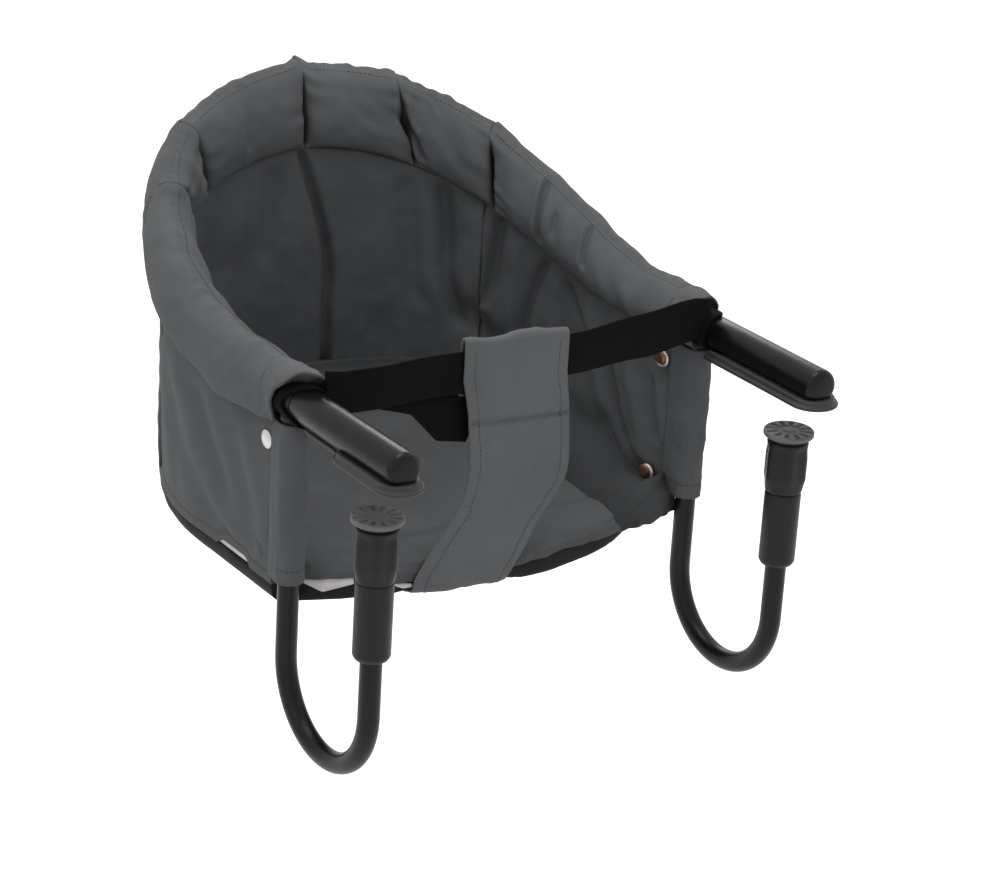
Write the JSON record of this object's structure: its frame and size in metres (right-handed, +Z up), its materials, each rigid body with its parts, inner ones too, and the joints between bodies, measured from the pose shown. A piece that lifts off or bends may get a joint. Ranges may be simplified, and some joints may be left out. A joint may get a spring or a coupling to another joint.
{
  "type": "hook-on table chair",
  "caption": "Padded bucket seat for a child on a bent tube frame, hung on a table edge by two arms and two folding J hooks with screw clamps",
  "frame": {"origin": "on the table top, midway between the two arms, in the plane of the hooks' rear legs", "axes": "+Z up, -Y along the arms over the table, +X to the sitter's left"},
  "size_m": [0.418, 0.5252, 0.4305],
  "materials": {
    "fabric": "matt woven",
    "liner": "matt woven",
    "webbing": "matt webbing",
    "plastic": "satin",
    "sole_rubber": "matt",
    "pad_rubber": "matt",
    "painted_steel": "semi-gloss",
    "tray": "matt",
    "board": "matt",
    "screw_steel": "zinc-plated",
    "stud_cap": "gloss",
    "stud_socket": "satin"
  },
  "bodies": {
    "frame": {"top_frame_tube": "painted_steel", "back_panel": "fabric", "seat_board": "board", "seat_base_tray": "tray", "seat_liner": "liner", "seat_front_tray": "tray", "seat_front_bow": "liner", "waist_belt": "webbing", "crotch_strap": "fabric", "rim_back_left": "fabric", "rim_quarter_left": "fabric", "rim_side_left": "fabric", "left_side_panel": "fabric", "left_corner_hood": "fabric", "left_leg_sleeve": "fabric", "left_belt_loop": "webbing", "left_arm_cover": "plastic", "left_arm_sole": "sole_rubber", "left_retaining_ring": "plastic", "left_upper_stud_cap": "stud_cap", "left_upper_stud_socket": "stud_socket", "left_lower_stud_cap": "stud_cap", "left_lower_stud_socket": "stud_socket", "rim_back_right": "fabric", "rim_quarter_right": "fabric", "rim_side_right": "fabric", "right_side_panel": "fabric", "right_corner_hood": "fabric", "right_leg_sleeve": "fabric", "right_belt_loop": "webbing", "right_arm_cover": "plastic", "right_arm_sole": "sole_rubber", "right_retaining_ring": "plastic", "right_upper_stud_cap": "stud_cap", "right_upper_stud_socket": "stud_socket", "right_lower_stud_cap": "stud_cap", "right_lower_stud_socket": "stud_socket"},
    "left_hook": {"left_hook_tube": "painted_steel", "left_hook_collar": "plastic", "left_clamp_sleeve": "plastic", "left_screw_nut": "screw_steel"},
    "right_hook": {"right_hook_tube": "painted_steel", "right_hook_collar": "plastic", "right_clamp_sleeve": "plastic", "right_screw_nut": "screw_steel"},
    "left_pad": {"left_clamp_pad": "pad_rubber", "left_pad_plate": "plastic"},
    "right_pad": {"right_clamp_pad": "pad_rubber", "right_pad_plate": "plastic"},
    "left_knob": {"left_grip_knob": "plastic", "left_screw_spindle": "screw_steel"},
    "right_knob": {"right_grip_knob": "plastic", "right_screw_spindle": "screw_steel"}
  },
  "joints": [
    {"name": "left_hook_fold", "type": "hinge", "parent": "frame", "child": "left_hook", "pos_m": [0.189, 0, 0.016], "axis": [0, 1, 0], "range_deg": [0, 90], "deforming": ["left_corner_hood", "left_leg_sleeve", "waist_belt", "crotch_strap", "seat_front_tray", "seat_front_bow"]},
    {"name": "left_clamp_travel", "type": "slide", "parent": "left_hook", "child": "left_pad", "axis": [0, 0, 1], "range_m": [0, 0.02]},
    {"name": "left_knob_turn", "type": "hinge", "parent": "left_pad", "child": "left_knob", "pos_m": [0.189, -0.122, -0.06], "axis": [0, 0, 1], "range_deg": [0, 1441]},
    {"name": "right_hook_fold", "type": "hinge", "parent": "frame", "child": "right_hook", "pos_m": [-0.189, 0, 0.016], "axis": [0, -1, 0], "range_deg": [0, 78], "deforming": ["right_corner_hood", "right_leg_sleeve"]},
    {"name": "right_clamp_travel", "type": "slide", "parent": "right_hook", "child": "right_pad", "axis": [0, 0, 1], "range_m": [0, 0.02]},
    {"name": "right_knob_turn", "type": "hinge", "parent": "right_pad", "child": "right_knob", "pos_m": [-0.189, -0.122, -0.06], "axis": [0, 0, 1], "range_deg": [0, 1441]}
  ],
  "couplings": [
    {"joint": "left_knob_turn", "follows": "left_clamp_travel", "rad_per_m": 1256.6},
    {"joint": "right_knob_turn", "follows": "right_clamp_travel", "rad_per_m": 1256.6}
  ]
}
